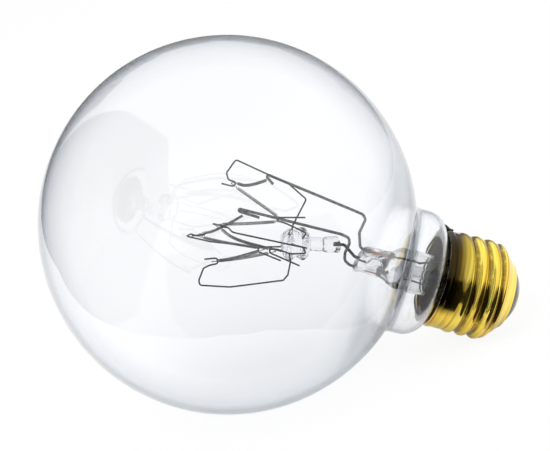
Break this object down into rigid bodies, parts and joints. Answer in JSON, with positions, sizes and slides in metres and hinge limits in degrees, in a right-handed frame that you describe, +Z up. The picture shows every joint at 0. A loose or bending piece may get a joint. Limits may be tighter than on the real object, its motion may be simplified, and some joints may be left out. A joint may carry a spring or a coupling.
{
  "type": "globe bulb",
  "caption": "Clear glass globe incandescent bulb with a medium screw base, glass stem, slung coil filament on wire hooks.",
  "frame": {"origin": "on the ground under the middle of the bulb's box, as it lies at rest on its globe and its base", "axes": "+Z up; +X level, from the globe towards the base, whose axis dips 30.9 degrees below +X; +Y level, to the back"},
  "size_m": [0.1166, 0.0952, 0.0952],
  "materials": {
    "clear_glass": "clear, polished",
    "dark_wire": "dark",
    "lead_wire": "drawn wire",
    "seal_wire": "copper-clad wire",
    "copper_wire": "drawn copper wire",
    "filament": "fine coil",
    "support_wire": "drawn wire",
    "brass": "bright rolled sheet",
    "cement": "matt",
    "black_glass": "moulded, glossy",
    "solder": "dull solder"
  },
  "bodies": {
    "root": {"glass_globe": "clear_glass", "stem": "clear_glass", "exhaust_tube": "clear_glass", "glass_cane": "clear_glass", "cane_wire": "dark_wire", "inner_lead_upper": "lead_wire", "inner_lead_lower": "lead_wire", "seal_wire_upper": "seal_wire", "seal_wire_lower": "seal_wire", "outer_lead_shell": "copper_wire", "outer_lead_contact": "copper_wire", "filament": "filament", "screw_shell": "brass", "basing_cement": "cement", "insulator": "black_glass", "centre_contact": "brass", "centre_solder": "solder", "side_solder": "solder", "support_top_bracket": "support_wire", "support_near_bracket": "support_wire", "support_bottom_bracket": "support_wire", "support_far_bracket": "support_wire", "support_top_hook": "support_wire", "support_near_hook": "support_wire", "support_far_hook": "support_wire"}
  },
  "joints": []
}
